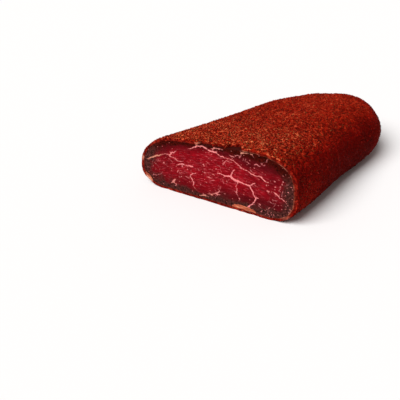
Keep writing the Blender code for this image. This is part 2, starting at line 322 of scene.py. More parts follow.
def section(angle, share):
    """Unit section of four superellipse quarters: place across, height of the belt, height from it."""
    c, s = np.cos(angle), np.sin(angle)
    right, top = c >= 0, s >= 0
    quarters = [top & right, top & ~right, ~top & ~right, ~top & right]
    beyond = np.clip(share / SHOULDER, 0, 1)
    top_right = [cut + (far - cut) * beyond for cut, far in zip(TOP_RIGHT_AT_CUT, TOP_RIGHT_BEYOND)]
    powers = (top_right, TOP_LEFT, BASE_LEFT, BASE_RIGHT)
    across_power = np.select(quarters, [p[0] for p in powers])
    upright_power = np.select(quarters, [p[1] for p in powers])
    across = np.sign(c) * np.abs(c) ** (2 / across_power)
    reach = np.abs(s) ** (2 / upright_power)
    belt = BELT + BELT_TILT * across
    crown = 1 + CROWN_TILT * across
    return across, belt, np.where(top, (crown - belt) * reach, -belt * reach)


def smooth_surface(y, angle):
    """Points of the loaf before relief: the section, scaled by the tapers and closed at the far end."""
    share = y / LENGTH
    across, belt, from_belt = section(angle, share)
    reach = np.where(across > 0, REACH_RIGHT, REACH_LEFT)
    half_width = reach * (1 - WIDTH_TAPER * share) * end_round(y, END_IN_PLAN, END_PLAN_POWER)
    height = HEIGHT * (1 - HEIGHT_TAPER * share)
    close = end_round(y, END_FROM_SIDE, END_SIDE_POWER)
    x = LEAN * share + half_width * across
    z = np.maximum(height * (belt + from_belt * close) - PRESSED, 0)
    return np.stack([x, y + 0 * x, z], axis=-1)


def arc_angles(distances, start, end, steps, base_weight):
    """For each ring, angles that divide its outline between two angles into steps of even length."""
    dense = np.linspace(start, end, OUTLINE_SAMPLES + 1)
    weight = np.interp(-np.sin(dense[1:]), BASE_BEGINS, (1, base_weight))
    angles = []
    for y in distances:
        outline = smooth_surface(np.full_like(dense, y), dense)
        step = np.linalg.norm(np.diff(outline, axis=0), axis=1)
        travelled = np.concatenate([[0], np.cumsum(weight * step)])
        angles.append(np.interp(np.arange(steps) / steps * travelled[-1], travelled, dense))
    return np.array(angles)


def ring_distances(first_rows, side_rings, end_rings):
    """Distances of the rings from the cut: the given rows, even along the side, crowding at the tip."""
    straight = LENGTH - END_IN_PLAN
    side = np.linspace(first_rows[-1], straight, side_rings + 1)[1:]
    turn = np.linspace(0, np.pi / 2, end_rings + 1)[1:-1]
    return np.concatenate([first_rows, side, straight + END_IN_PLAN * np.sin(turn)])


def outward(points):
    """Unit normals of a grid of points: the cross product of its steps along and round it."""
    along = np.gradient(points, axis=0)
    round_it = np.roll(points, -1, axis=1) - np.roll(points, 1, axis=1)
    normal = np.cross(along, round_it)
    return normal / np.maximum(np.linalg.norm(normal, axis=-1, keepdims=True), 1e-9)


def swell(points):
    """Height of the broad swells: a mean of plane sine waves with seeded directions, lengths and phases."""
    draw = np.random.default_rng(SWELL_SEED)
    height = np.zeros(points.shape[:-1])
    for _ in range(SWELL_WAVES):
        direction = draw.normal(size=3)
        direction /= np.linalg.norm(direction)
        turns = TURN / draw.uniform(*SWELL_LENGTHS)
        height += np.sin(turns * (points @ direction) + draw.uniform(0, TURN))
    return SWELL * height / SWELL_WAVES


def lattice_noise(points, size, seed):
    """Noise from -1 to 1: seeded numbers on a lattice of cells, blended along 3t^2 - 2t^3 between them."""
    table = np.random.default_rng(seed).uniform(-1, 1, (NOISE_TABLE,) * 3)
    place = points / size
    cell = np.floor(place).astype(int)
    blend = smooth_step(0, 1, place - cell)
    value = np.zeros(points.shape[:-1])
    for corner in np.ndindex(2, 2, 2):
        index = (cell + corner) % NOISE_TABLE
        weight = np.prod(np.where(np.array(corner) == 1, blend, 1 - blend), axis=-1)
        value += weight * table[index[..., 0], index[..., 1], index[..., 2]]
    return value


def layered_noise(points, layers):
    """Sum of layers of noise, each given as cell size, height and seed."""
    return sum(height * lattice_noise(points, size, seed) for size, height, seed in layers)


def loaf(y, angles, inset, relief=0):
    """The loaf's rings, moved along their normals by the swells and relief less the inset."""
    points = smooth_surface(y, angles)
    clear_of_base = np.clip(points[..., 2] / FLAT_FADE, 0, 1)
    moved = (swell(points) + relief) * clear_of_base - inset
    placed = points + outward(points) * moved[..., None]
    placed[0, :, 1] = points[0, :, 1]
    placed[..., 1] = np.maximum(placed[..., 1], points[:1, :, 1])
    placed[..., 2] = np.maximum(placed[..., 2], 0)
    return placed


def tip(inset):
    """The point that closes the far end."""
    middle = smooth_surface(np.array(LENGTH), np.array(0))
    return middle + np.array([0, swell(middle) - inset, 0])


def coat_thickness(angles):
    sideways = np.cos(angles)
    return COAT + np.where(sideways > 0, COAT_RIGHT, COAT_LEFT) * sideways**4


def chip_depth(angles):
    """How far chips draw the lip back from the cut: half ellipses on the upper edge."""
    x = smooth_surface(np.zeros_like(angles), angles)[:, 0]
    depth = np.zeros_like(angles)
    for middle, half_width, deepest in CHIPS:
        bite = np.clip(1 - ((x - middle) / half_width) ** 2, 0, 1)
        depth = np.maximum(depth, deepest * np.sqrt(bite))
    return np.where(np.sin(angles) > 0, depth, 0)


def footprint_middle():
    """Middle of the plan's outline, measured on the rings of the construction."""
    y = ring_distances((0,), *PLAN_RINGS)[:, None]
    plan = smooth_surface(y, arc_angles(y, 0, TURN, PLAN_SEGMENTS, BASE_WEIGHT))
    return np.array([(plan[..., 0].min() + plan[..., 0].max()) / 2, LENGTH / 2, 0])


MIDDLE = footprint_middle()


def place_in_frame(points):
    """Metres in the shared frame, from millimetres measured from the cut."""
    return (np.asarray(points) - MIDDLE) * MM


def grid_triangles(index):
    """Two triangles to each square of a grid of point numbers, without those that have shrunk to a line."""
    low_a, low_b, high_a, high_b = index[:-1, :-1], index[:-1, 1:], index[1:, :-1], index[1:, 1:]
    first = np.stack([low_a, high_a, high_b], axis=-1).reshape(-1, 3)
    second = np.stack([low_a, high_b, low_b], axis=-1).reshape(-1, 3)
    both = np.concatenate([first, second])
    whole = (both[:, 0] != both[:, 1]) & (both[:, 1] != both[:, 2]) & (both[:, 2] != both[:, 0])
    return both[whole]


def make_piece(name, points, triangles, masks, surface, sharp_angle=None):
    """Makes a mesh object of triangles, with a number at each point for every named mask."""
    mesh = bpy.data.meshes.new(name)
    mesh.vertices.add(len(points))
    mesh.vertices.foreach_set("co", place_in_frame(points).astype(np.float32).ravel())
    mesh.loops.add(triangles.size)
    mesh.loops.foreach_set("vertex_index", triangles.astype(np.int32).ravel())
    mesh.polygons.add(len(triangles))
    mesh.polygons.foreach_set("loop_start", np.arange(0, triangles.size, 3, dtype=np.int32))
    mesh.update(calc_edges=True)
    mesh.validate()
    mesh.shade_smooth()
    if sharp_angle is not None:
        mesh.set_sharp_from_angle(angle=np.radians(sharp_angle))
    for mask, values in masks.items():
        layer = mesh.attributes.new(mask, "FLOAT", "POINT")
        layer.data.foreach_set("value", np.asarray(values, dtype=np.float32).ravel())
    mesh.materials.append(surface)
    piece = bpy.data.objects.new(name, mesh)
    bpy.context.scene.collection.objects.link(piece)
    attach(piece, "root")
    return piece


def add(tree, kind, values=(), **settings):
    """Adds a node. Values go to inputs by name or number, as constants or as sockets to link."""
    made = tree.nodes.new(kind)
    for key, value in settings.items():
        setattr(made, key, value)
    for key, value in dict(values).items():
        if isinstance(value, bpy.types.NodeSocket):
            tree.links.new(value, made.inputs[key])
        else:
            made.inputs[key].default_value = value
    return made


def calculate(tree, operation, first, second):
    return add(tree, "ShaderNodeMath", {0: first, 1: second}, operation=operation).outputs[0]


def plus(tree, first, second):
    return calculate(tree, "ADD", first, second)


def times(tree, first, second):
    return calculate(tree, "MULTIPLY", first, second)


def mix(tree, factor, first, second, blend="MIX"):
    """Blends two colours, each a socket or red, green and blue."""
    first, second = ((*colour, 1) if isinstance(colour, tuple) else colour for colour in (first, second))
    node = add(tree, "ShaderNodeMix", {0: factor, 6: first, 7: second}, data_type="RGBA", blend_type=blend)
    return node.outputs[2]


def rescale(tree, value, low, high, new_low=0, new_high=1, interpolation="LINEAR"):
    values = {0: value, 1: low, 2: high, 3: new_low, 4: new_high}
    return add(tree, "ShaderNodeMapRange", values, interpolation_type=interpolation).outputs[0]


def mask(tree, name):
    return add(tree, "ShaderNodeAttribute", attribute_name=name).outputs["Fac"]


def ramp(tree, value, stops):
    """A colour ramp through (position, colour) stops."""
    node = add(tree, "ShaderNodeValToRGB", {"Fac": value})
    elements = node.color_ramp.elements
    while len(elements) < len(stops):
        elements.new(0.5)
    for element, (position, colour) in zip(elements, stops):
        element.position = position
        element.color = (*colour, 1)
    return node.outputs["Color"]


def new_group(name, inputs, outputs):
    """A shader node group with named inputs, given as kind and default, and named outputs of a kind."""
    group = bpy.data.node_groups.new(name, "ShaderNodeTree")
    for label, (kind, default) in inputs.items():
        socket = group.interface.new_socket(label, in_out="INPUT", socket_type=kind)
        if default is not None:
            socket.default_value = default
    for label, kind in outputs.items():
        group.interface.new_socket(label, in_out="OUTPUT", socket_type=kind)
    return group, add(group, "NodeGroupInput").outputs, add(group, "NodeGroupOutput")


def mottle_group():
    """Cloudy unevenness: noise of the given scale, stretched to run from Low to High."""
    inputs = {
        "Vector": ("NodeSocketVector", None),
        "Scale": ("NodeSocketFloat", 100),
        "Detail": ("NodeSocketFloat", 3),
        "Low": ("NodeSocketFloat", 0),
        "High": ("NodeSocketFloat", 1),
    }
    group, given, result = new_group("Mottle", inputs, {"Value": "NodeSocketFloat"})
    noise = add(group, "ShaderNodeTexNoise",
                {"Vector": given["Vector"], "Scale": given["Scale"], "Detail": given["Detail"]})
    value = rescale(group, noise.outputs[0], 0.3, 0.7, given["Low"], given["High"])
    group.links.new(value, result.inputs["Value"])
    return group


def crumb_group():
    """Packed crumbs: cells of the given scale, each with its own tone and a rounded height."""
    inputs = {"Vector": ("NodeSocketVector", None), "Scale": ("NodeSocketFloat", 1000)}
    outputs = {"Tone": "NodeSocketFloat", "Height": "NodeSocketFloat"}
    group, given, result = new_group("Crumbs", inputs, outputs)
    cells = add(group, "ShaderNodeTexVoronoi", {"Vector": given["Vector"], "Scale": given["Scale"]})
    tone = add(group, "ShaderNodeSeparateColor", {0: cells.outputs["Color"]}).outputs[0]
    height = rescale(group, cells.outputs["Distance"], 0, 0.75, 1, 0, "SMOOTHSTEP")
    group.links.new(tone, result.inputs["Tone"])
    group.links.new(height, result.inputs["Height"])
    return group


def dusting_and_top_light_group():
    """Warmer, lighter spice in clouds where the paste faces up, which is partly dusting and partly painted
    light on the top, and crumbs from red to tan where it is soft.
    """
    inputs = {"Vector": ("NodeSocketVector", None), "Colour": ("NodeSocketColor", None)}
    group, given, result = new_group("Dusting and top light", inputs, {"Colour": "NodeSocketColor"})
    clouds = uneven(group, given["Vector"], 190, 0.3, 1.4, 4)
    # Partly painted light: up-facing paste is made lighter and more orange
    amount = times(group, clouds, mask(group, "dusting_and_top_light"))
    lit_and_dusted = mix(group, amount, given["Colour"], TOP_LIGHT_AND_DUSTING_TINT, "MULTIPLY")
    tint = mix(group, uneven(group, given["Vector"], 620, -0.3, 1.3, 2), *CRUMB_TINTS)
    tinted = mix(group, mask(group, "soft"), lit_and_dusted, tint, "MULTIPLY")
    group.links.new(tinted, result.inputs["Colour"])
    return group


def tone_group():
    """The spice's tone: calmed towards a middle by the soft mask, then shifted by the patches, which hold
    painted light and shade as well as the paste's own tone.
    """
    inputs = {
        "Tone": ("NodeSocketFloat", 0.5),
        "Middle": ("NodeSocketFloat", 0.5),
        "Weight": ("NodeSocketFloat", 1),
    }
    group, given, result = new_group("Tone with painted light", inputs, {"Tone": "NodeSocketFloat"})
    away = calculate(group, "SUBTRACT", given["Middle"], given["Tone"])
    calmed = plus(group, given["Tone"], times(group, away, mask(group, "soft")))
    shift = times(group, mask(group, "patch_and_painted_light"), given["Weight"])
    group.links.new(plus(group, calmed, shift), result.inputs["Tone"])
    return group


def use_group(tree, group, values):
    """Places a node group in a material and gives its outputs."""
    return add(tree, "ShaderNodeGroup", values, node_tree=group).outputs


def uneven(tree, vector, scale, low=0, high=1, detail=3):
    """Cloudy noise from low to high, of so many clouds to the metre."""
    values = {"Vector": vector, "Scale": scale, "Detail": detail, "Low": low, "High": high}
    return use_group(tree, MOTTLE, values)["Value"]


def dusted_and_lit(tree, vector, colour):
    return use_group(tree, DUSTING_AND_TOP_LIGHT, {"Vector": vector, "Colour": colour})["Colour"]


MOTTLE = mottle_group()
CRUMBS = crumb_group()
TONE = tone_group()
DUSTING_AND_TOP_LIGHT = dusting_and_top_light_group()


def new_material(name):
    """An empty node material: its tree, its shader and the object's coordinates."""
    made = bpy.data.materials.new(name)
    made.use_nodes = True
    tree = made.node_tree
    return made, tree, tree.nodes["Principled BSDF"], add(tree, "ShaderNodeTexCoord").outputs["Object"]


def feed(tree, shader, colour, roughness, height, depth, strength, specular):
    """Links colour, roughness and a bump of the given depth, in metres, to the shader."""
    tree.links.new(colour, shader.inputs["Base Color"])
    tree.links.new(roughness, shader.inputs["Roughness"])
    bump = add(tree, "ShaderNodeBump", {"Strength": strength, "Distance": depth, "Height": height})
    tree.links.new(bump.outputs["Normal"], shader.inputs["Normal"])
    shader.inputs["Specular IOR Level"].default_value = specular


def along_fibres(tree, place, stretch):
    """Coordinates bent and stretched along the fibres, whose slope changes evenly across the cut."""
    x, y, z = add(tree, "ShaderNodeSeparateXYZ", {0: place}).outputs
    rise = plus(tree, times(tree, x, FIBRE_BEND), FIBRE_RISE)
    level = calculate(tree, "SUBTRACT", z, times(tree, x, rise))
    bent = add(tree, "ShaderNodeCombineXYZ", {0: x, 1: y, 2: level}).outputs[0]
    values = {"Vector": bent, "Scale": stretch}
    return add(tree, "ShaderNodeMapping", values, vector_type="TEXTURE").outputs[0]


def beef_material():
    """Crimson dried lean with fibres, marbling and flecks, browned at the rim, with hard tallow outside."""
    made, tree, shader, place = new_material("dried_beef_cut")

    # Lean
    along = along_fibres(tree, place, FIBRE_STRETCH)
    fibre = uneven(tree, along, 1200, 0, 1, 4)
    threads = uneven(tree, along, 1700, -1.6, 1, 3)
    lean = mix(tree, uneven(tree, place, 90), *LEAN_REDS)
    lean = mix(tree, uneven(tree, place, 420, -0.25, 0.45, 4), lean, LEAN_SHADE)
    lean = mix(tree, rescale(tree, fibre, 0, 1, 0, 0.78), lean, LEAN_FIBRE)
    lean = mix(tree, rescale(tree, threads, 0, 1, 0, 0.36), lean, LEAN_THREAD)
    lean = mix(tree, mask(tree, "deep"), lean, LEAN_DEEP)

    # Dried rim
    grit = uneven(tree, place, 700, 0, 1, 4)
    dried = mix(tree, mask(tree, "char"), mix(tree, grit, *DRIED), mix(tree, grit, *CHARRED))
    dried = mix(tree, rescale(tree, mask(tree, "deep"), 0.9, 1, 0, 0.75), dried, CRUST)
    edge = plus(tree, mask(tree, "dark"), uneven(tree, place, 240, -0.16, 0.16, 4))
    colour = mix(tree, rescale(tree, edge, 0.04, 0.75, 0, 0.96), lean, dried)

    # Flecks
    values = {"Vector": along_fibres(tree, place, FLECK_STRETCH), "Scale": 900}
    cells = add(tree, "ShaderNodeTexVoronoi", values)
    parts = add(tree, "ShaderNodeSeparateColor", {0: cells.outputs["Color"]}).outputs
    chosen = calculate(tree, "LESS_THAN", parts[0], mask(tree, "flecked"))
    radius = rescale(tree, parts[1], 0, 1, 0.12, 0.3)
    inside = calculate(tree, "SUBTRACT", radius, cells.outputs["Distance"])
    inside = rescale(tree, inside, -0.03, 0.1, 0, 0.56, "SMOOTHSTEP")
    colour = mix(tree, times(tree, chosen, inside), colour, FAT_FLECK)

    # Marbling
    ragged = plus(tree, mask(tree, "fat"), uneven(tree, place, 900, -0.5, 0.3, 4))
    fat = rescale(tree, ragged, 0.18, 0.8, 0, 1, "SMOOTHSTEP")
    fat_colour = mix(tree, mask(tree, "cream"), FAT_PINK, FAT_CREAM)
    fat_colour = mix(tree, uneven(tree, place, 700, 0, 0.36), fat_colour, FAT_SHADE)
    colour = mix(tree, times(tree, fat, mask(tree, "pale")), colour, fat_colour)

    # Tallow
    streak = add(tree, "ShaderNodeMapping", {"Vector": place, "Scale": (0.25, 0.4, 1)}).outputs[0]
    tallow_colour = ramp(tree, uneven(tree, streak, 800, 0, 1, 4), TALLOW_STOPS)
    hard = plus(tree, mask(tree, "tallow"), uneven(tree, place, 800, -0.15, 0.15))
    colour = mix(tree, rescale(tree, hard, 0.3, 0.7, 0, 1, "SMOOTHSTEP"), colour, tallow_colour)

    rough = plus(tree, uneven(tree, place, 500, 0.4, 0.56), times(tree, mask(tree, "dark"), 0.18))
    height = plus(tree, times(tree, fibre, 0.6), times(tree, fat, 0.5))
    height = plus(tree, height, times(tree, grit, mask(tree, "dark")))
    feed(tree, shader, colour, rough, height, 0.00012, 1, 0.015)
    shader.inputs["Subsurface Weight"].default_value = 0.1
    shader.inputs["Subsurface Radius"].default_value = (1, 0.25, 0.15)
    shader.inputs["Subsurface Scale"].default_value = 0.0012
    return made


def paste_material():
    """Dried spice paste: packed crumbs from dark brown to orange, with painted shade in its pits, browner
    where cut.
    """
    made, tree, shader, place = new_material("spice_paste")
    crumbs = use_group(tree, CRUMBS, {"Vector": place, "Scale": 700})
    fine = use_group(tree, CRUMBS, {"Vector": place, "Scale": 1700})
    tone = plus(tree, times(tree, crumbs["Tone"], 0.8), times(tree, fine["Tone"], 0.2))
    tone = plus(tree, tone, uneven(tree, place, 120, -0.08, 0.12, 5))
    # Shifted by the patches, painted light and shade among them
    tone = use_group(tree, TONE, {"Tone": tone, "Middle": 0.5, "Weight": 1})["Tone"]
    colour = ramp(tree, tone, PASTE_STOPS)
    # Painted shade: darker where the relief sinks in
    pit_shade = rescale(tree, mask(tree, "relief"), -0.6, 0.22, 0.62, 0, "SMOOTHSTEP")
    # Dusting, partly painted light on the top
    colour = dusted_and_lit(tree, place, mix(tree, pit_shade, colour, PASTE_PIT_SHADE))

    clotted = uneven(tree, place, 420, 0, 0.6, 4)
    cut_colour = ramp(tree, plus(tree, clotted, times(tree, crumbs["Tone"], 0.45)), CUT_PASTE_STOPS)
    colour = mix(tree, mask(tree, "rim"), colour, cut_colour)
    pale = mix(tree, uneven(tree, place, 420, 0, 1, 4), *BLANCHED_PASTE)
    colour = mix(tree, mask(tree, "blanched"), colour, pale)

    rough = uneven(tree, place, 900, 0.55, 0.85)
    height = plus(tree, crumbs["Height"], times(tree, fine["Height"], 0.5))
    feed(tree, shader, colour, rough, height, 0.0004, 0.9, 0.015)
    return made


def grain_material(name, colours, roughness):
    """Grains of one kind: each has its own tone between dark and light, with a fine mottle."""
    made, tree, shader, place = new_material(name)
    # Shifted by the patches, painted light and shade among them
    tone = use_group(tree, TONE, {"Tone": mask(tree, "tone"), "Middle": 0.42, "Weight": 1.6})["Tone"]
    colour = ramp(tree, tone, tuple(zip((0, 0.5, 1), colours)))
    colour = mix(tree, uneven(tree, place, 2600, 0, 0.45), colour, colours[0])
    rough = uneven(tree, place, 1800, roughness - 0.1, roughness + 0.1)
    height = use_group(tree, CRUMBS, {"Vector": place, "Scale": 4200})["Height"]
    # Dusting, partly painted light on the top
    feed(tree, shader, dusted_and_lit(tree, place, colour), rough, height, 0.0001, 0.6, 0.04)
    return made


def smooth_route(points, steps=4):
    """A Catmull-Rom curve through the points: cubics whose slope at a point follows its two neighbours."""
    route = np.array(points, dtype=float)
    padded = np.concatenate([2 * route[:1] - route[1:2], route, 2 * route[-1:] - route[-2:-1]])
    t = np.linspace(0, 1, steps, endpoint=False)[None, :, None]
    before, start, end, after = (padded[i:len(padded) - 3 + i, None, :] for i in range(4))
    curve = 0.5 * (2 * start + (end - before) * t + (2 * before - 5 * start + 4 * end - after) * t**2
                   + (3 * start - before - 3 * end + after) * t**3)
    return np.concatenate([curve.reshape(-1, route.shape[1]), route[-1:]])


def depth_inside(places, route):
    """How deep each place lies inside the band round a route of (x, z, half thickness), or below 0."""
    depth = np.full(len(places), -1e3)
    for start, end in zip(route[:-1], route[1:]):
        step = end[:2] - start[:2]
        share = np.clip((places - start[:2]) @ step / max(step @ step, 1e-9), 0, 1)
        gap = np.linalg.norm(places - start[:2] - share[:, None] * step, axis=1)
        depth = np.maximum(depth, start[2] + (end[2] - start[2]) * share - gap)
    return depth


def filaments():
    """Hair-fine extra marbling: short seeded wavy strokes, mostly along the fibres."""
    draw = np.random.default_rng(31)
    routes = []
    for middle_x, middle_z, half_x, half_z, share in FLECKED:
        for _ in range(int(28 * share)):
            start = np.array([middle_x, middle_z]) + draw.uniform(-1, 1, 2) * (half_x, half_z)
            heading = draw.normal(0, 0.55) + (np.pi if draw.random() < 0.5 else 0)
            bends = heading + np.cumsum(draw.normal(0, 0.5, 4))
            steps = draw.uniform(0.5, 1.3) * np.stack([np.cos(bends), np.sin(bends)], axis=1)
            places = start + np.concatenate([[[0, 0]], np.cumsum(steps, axis=0)])
            half = draw.uniform(0.1, 0.24) * np.array([0.5, 1, 1, 0.9, 0.4])
            routes.append(np.column_stack([places, half]))
    for _, _, points_of_vein in VEINS:
        route = smooth_route(points_of_vein)
        for number in np.flatnonzero(draw.random(len(route)) < VEIN_HAIRS):
            heading = draw.uniform(0, TURN) + np.cumsum(draw.normal(0, 0.4, 3))
            steps = draw.uniform(0.4, 1) * np.stack([np.cos(heading), np.sin(heading)], axis=1)
            places = route[number, :2] + np.concatenate([[[0, 0]], np.cumsum(steps, axis=0)])
            half = draw.uniform(0.12, 0.26) * np.array([1, 0.9, 0.7, 0.3])
            routes.append(np.column_stack([places, half]))
    return routes


def face_masks(points):
    """Marbling, tallow and flecks at points of the cut, from their distances to the routes above."""
    flat = points[:, [0, 2]]
    places = flat + np.stack([layered_noise(points, layers) for layers in ROUTE_WARP], axis=-1)
    fat = np.zeros(len(points))
    pale = np.zeros(len(points))
    cream = np.zeros(len(points))
    strongest = np.zeros(len(points))

    def lay(depth, paleness, creaminess):
        nonlocal fat, pale, cream, strongest
        weight = smooth_step(-0.28, 0.3, depth)
        wins = weight * paleness > strongest
        strongest = np.where(wins, weight * paleness, strongest)
        pale = np.where(wins, paleness, pale)
        cream = np.where(wins, creaminess, cream)
        fat = np.maximum(fat, weight)

    for paleness, creaminess, points_of_vein in VEINS:
        lay(depth_inside(places, smooth_route(points_of_vein)) - VEIN_SHRUNK, paleness, creaminess)
    for x, z, radius in FLECKS:
        lay(0.85 * radius - np.linalg.norm((places - (x, z)) * (0.8, 1), axis=1), 0.7, 0.1)
    for route in filaments():
        lay(depth_inside(places, route), 0.45, 0)
    tallow = np.zeros(len(points))
    for strip in TALLOW:
        tallow = np.maximum(tallow, smooth_step(-0.3, 0.3, depth_inside(places, smooth_route(strip))))
    flecked = np.full(len(points), FLECK_FLOOR)
    for x, z, half_x, half_z, share in FLECKED:
        away = np.hypot((flat[:, 0] - x) / half_x, (flat[:, 1] - z) / half_z)
        flecked = np.maximum(flecked, share * smooth_step(1.15, 0.4, away))
    return {"fat": fat, "pale": pale, "cream": cream, "tallow": tallow, "flecked": flecked}


def dried_rim(points, from_edge):
    """How browned the meat is, and how far its crimson has deepened to maroon.

    Both are full at the edge and ease off over a width that depends on the bearing. The maroon reaches
    further in, and more to the right and left than in the middle.
    """
    x, z = points[:, 0], points[:, 2]
    across, up = (x - FACE_MIDDLE[0]) / FACE_HALF[0], (z - FACE_MIDDLE[1]) / FACE_HALF[1]
    bearing = np.degrees(np.arctan2(up, across)) % 360
    degrees, widths, darkness = np.array(DRIED_RIM).T
    width = np.interp(bearing, degrees, widths)
    frayed = 1 + 0.3 * lattice_noise(points, 5, 51) + 0.25 * lattice_noise(points, 1.8, 52)
    dark = np.interp(bearing, degrees, darkness) * smooth_step(1.5, 0.3, from_edge / (width * frayed))
    upper_vein = np.array(VEINS[0][2])
    above = z - np.interp(x, upper_vein[:, 0], upper_vein[:, 1])
    reach = smooth_step(4, 9, x) * smooth_step(36, 30, x)
    inward = DEEP_MOST * smooth_step(1, 0, from_edge / (2.2 * width + 3))
    sideways = sum(weight * smooth_step(begins, full, x) for begins, full, weight in DEEP_SIDES)
    deep = np.maximum(inward, sideways) + DEEP_ABOVE_VEIN * reach * smooth_step(0.3, 1.6, above)
    for middle_x, middle_z, half_x, half_z, weight in DULL:
        away = np.hypot((x - middle_x) / half_x, (z - middle_z) / half_z)
        deep = deep + weight * smooth_step(1.4, 0.5, away)
    deep = deep + 0.1 * lattice_noise(points, 7, 55)
    return dark, np.clip(deep, 0, DEEP_MOST)


def sunk_in(flat, masks):
    """How deep the cut's skin lies: broad and fibrous noise, rougher where dried. The fat stands out."""
    along = flat * (0.25, 1, 1)
    sunk = 0.16 + 0.12 * lattice_noise(flat, 7, 61) + 0.07 * lattice_noise(along, 1.3, 62)
    rough = 0.16 * masks["dark"] * lattice_noise(flat, 1.6, 63)
    sunk += rough - 0.1 * masks["fat"] - 0.15 * masks["tallow"]
    return np.maximum(sunk, 0)


def dried_beef():
    """The meat: the loaf less its coat, closed at the cut by a grid of upright columns."""
    y = ring_distances(MEAT_SIDE_ROWS, *MEAT_RINGS)[:, None]
    halves = [arc_angles(y, start, start + np.pi, MEAT_COLUMNS, 1) for start in (0, np.pi)]
    angles = np.concatenate(halves, axis=1)
    rings = loaf(y, angles, coat_thickness(angles) + GAP)
    around = 2 * MEAT_COLUMNS
    side = np.arange(len(rings) * around).reshape(len(rings), around)
    point = np.full((1, around + 1), side.size)
    side_index = np.concatenate([np.concatenate([side, side[:, :1]], axis=1), point])

    column = np.arange(MEAT_COLUMNS + 1)
    upper, lower = column, (around - column) % around
    share = np.linspace(0, 1, MEAT_FACE_ROWS + 1)[1:-1, None, None]
    inner = rings[0, lower] + (rings[0, upper] - rings[0, lower]) * share
    inner = inner[:, 1:-1]
    face_index = np.empty((MEAT_FACE_ROWS + 1, MEAT_COLUMNS + 1), dtype=int)
    face_index[0], face_index[-1] = lower, upper
    face_index[:, 0], face_index[:, -1] = 0, MEAT_COLUMNS
    first_inner = side.size + 1
    face_index[1:-1, 1:-1] = first_inner + np.arange(inner[..., 0].size).reshape(inner.shape[:2])

    flat = inner.reshape(-1, 3)
    outline = np.column_stack([rings[0, ::4, 0], rings[0, ::4, 2], np.zeros(around // 4)])
    from_edge = -depth_inside(flat[:, [0, 2]], np.concatenate([outline, outline[:1]]))
    masks = face_masks(flat)
    masks["dark"], masks["deep"] = dried_rim(flat, from_edge)
    masks["char"] = smooth_step(25, 34, flat[:, 2]) * smooth_step(-56, -40, flat[:, 0])
    relieved = flat.copy()
    relieved[:, 1] = sunk_in(flat, masks) * smooth_step(0, 0.9, from_edge)

    points = np.concatenate([rings.reshape(-1, 3), [tip(COAT + GAP)], relieved])
    outside = side.size + 1
    edge_masks = face_masks(rings[0])
    edge_masks["dark"], edge_masks["deep"] = dried_rim(rings[0], np.zeros(around))
    edge_masks["char"] = smooth_step(25, 34, rings[0, :, 2])
    for name, face_values in masks.items():
        hidden = np.full(outside - around, 1 if name in ("dark", "deep", "char") else 0)
        masks[name] = np.concatenate([edge_masks[name], hidden, face_values])
    triangles = np.concatenate([grid_triangles(side_index), grid_triangles(face_index)])
    piece = make_piece("beef", points, triangles, masks, beef_material(), sharp_angle=50)
    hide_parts("dried_beef")


def tone_and_painted_light(distance, points, upward):
    """Change of tone over the coat: clouds, darker away from the cut, painted shade on the flanks and far
    end, and the named patches as bells, which are partly painted light and shade.
    """
    tone = layered_noise(points, TONE_CLOUDS)
    tone -= TONE_LOWER + TONE_BEYOND_CUT * smooth_step(25, 70, distance)
    # Painted shade: darker where the paste faces away from up, more so towards the far end
    tone -= smooth_step(0.97, 0.45, upward) * np.interp(distance, (0, 30, LENGTH), FLANK_PAINTED_SHADE)
    # Patches of tone, partly painted light and shade
    for x, y, z, radius, change in PATCHES_AND_PAINTED_LIGHT:
        away = np.linalg.norm(points - (x, y, z), axis=-1) / radius
        tone += change * np.exp(-away**2)
    return tone


def blanched(points, inner_line, on_lip):
    """Pale and tan spots on the cut lip, as soft ellipses, and a thin tan line inside its right part."""
    weight = np.zeros(points.shape[:-1])
    for x, z, half_x, half_z, most in BLANCHED:
        away = np.hypot((points[..., 0] - x) / half_x, (points[..., 2] - z) / half_z)
        weight = np.maximum(weight, most * smooth_step(1.2, 0.3, away) * on_lip)
    broken = np.clip(0.5 + 0.8 * lattice_noise(points, 2.6, 75), 0, 1)
    right = smooth_step(24, 30, points[..., 0])
    return np.maximum(weight, 0.5 * inner_line * right * broken)


def coat_lip(angles):
    """How far the lip is drawn back from the cut: the chips with wavering edges, and a ragged line."""
    at_cut = smooth_surface(np.zeros_like(angles), angles)
    ragged = np.clip(layered_noise(at_cut, LIP_NOISE), 0, 1)
    chips = chip_depth(angles) * (1 + CHIP_UNEVEN * lattice_noise(at_cut, 2.6, 73))
    return chips + LIP_RAGGED * ragged


def softness(distance, upward):
    """How soft the crumbs are: smooth steps to the far end and down the flanks, added and capped."""
    soft = SOFT_FAR * smooth_step(0, 110, distance) + SOFT_FLANK * smooth_step(0.99, 0.6, upward)
    return np.minimum(soft, SOFT_MOST)


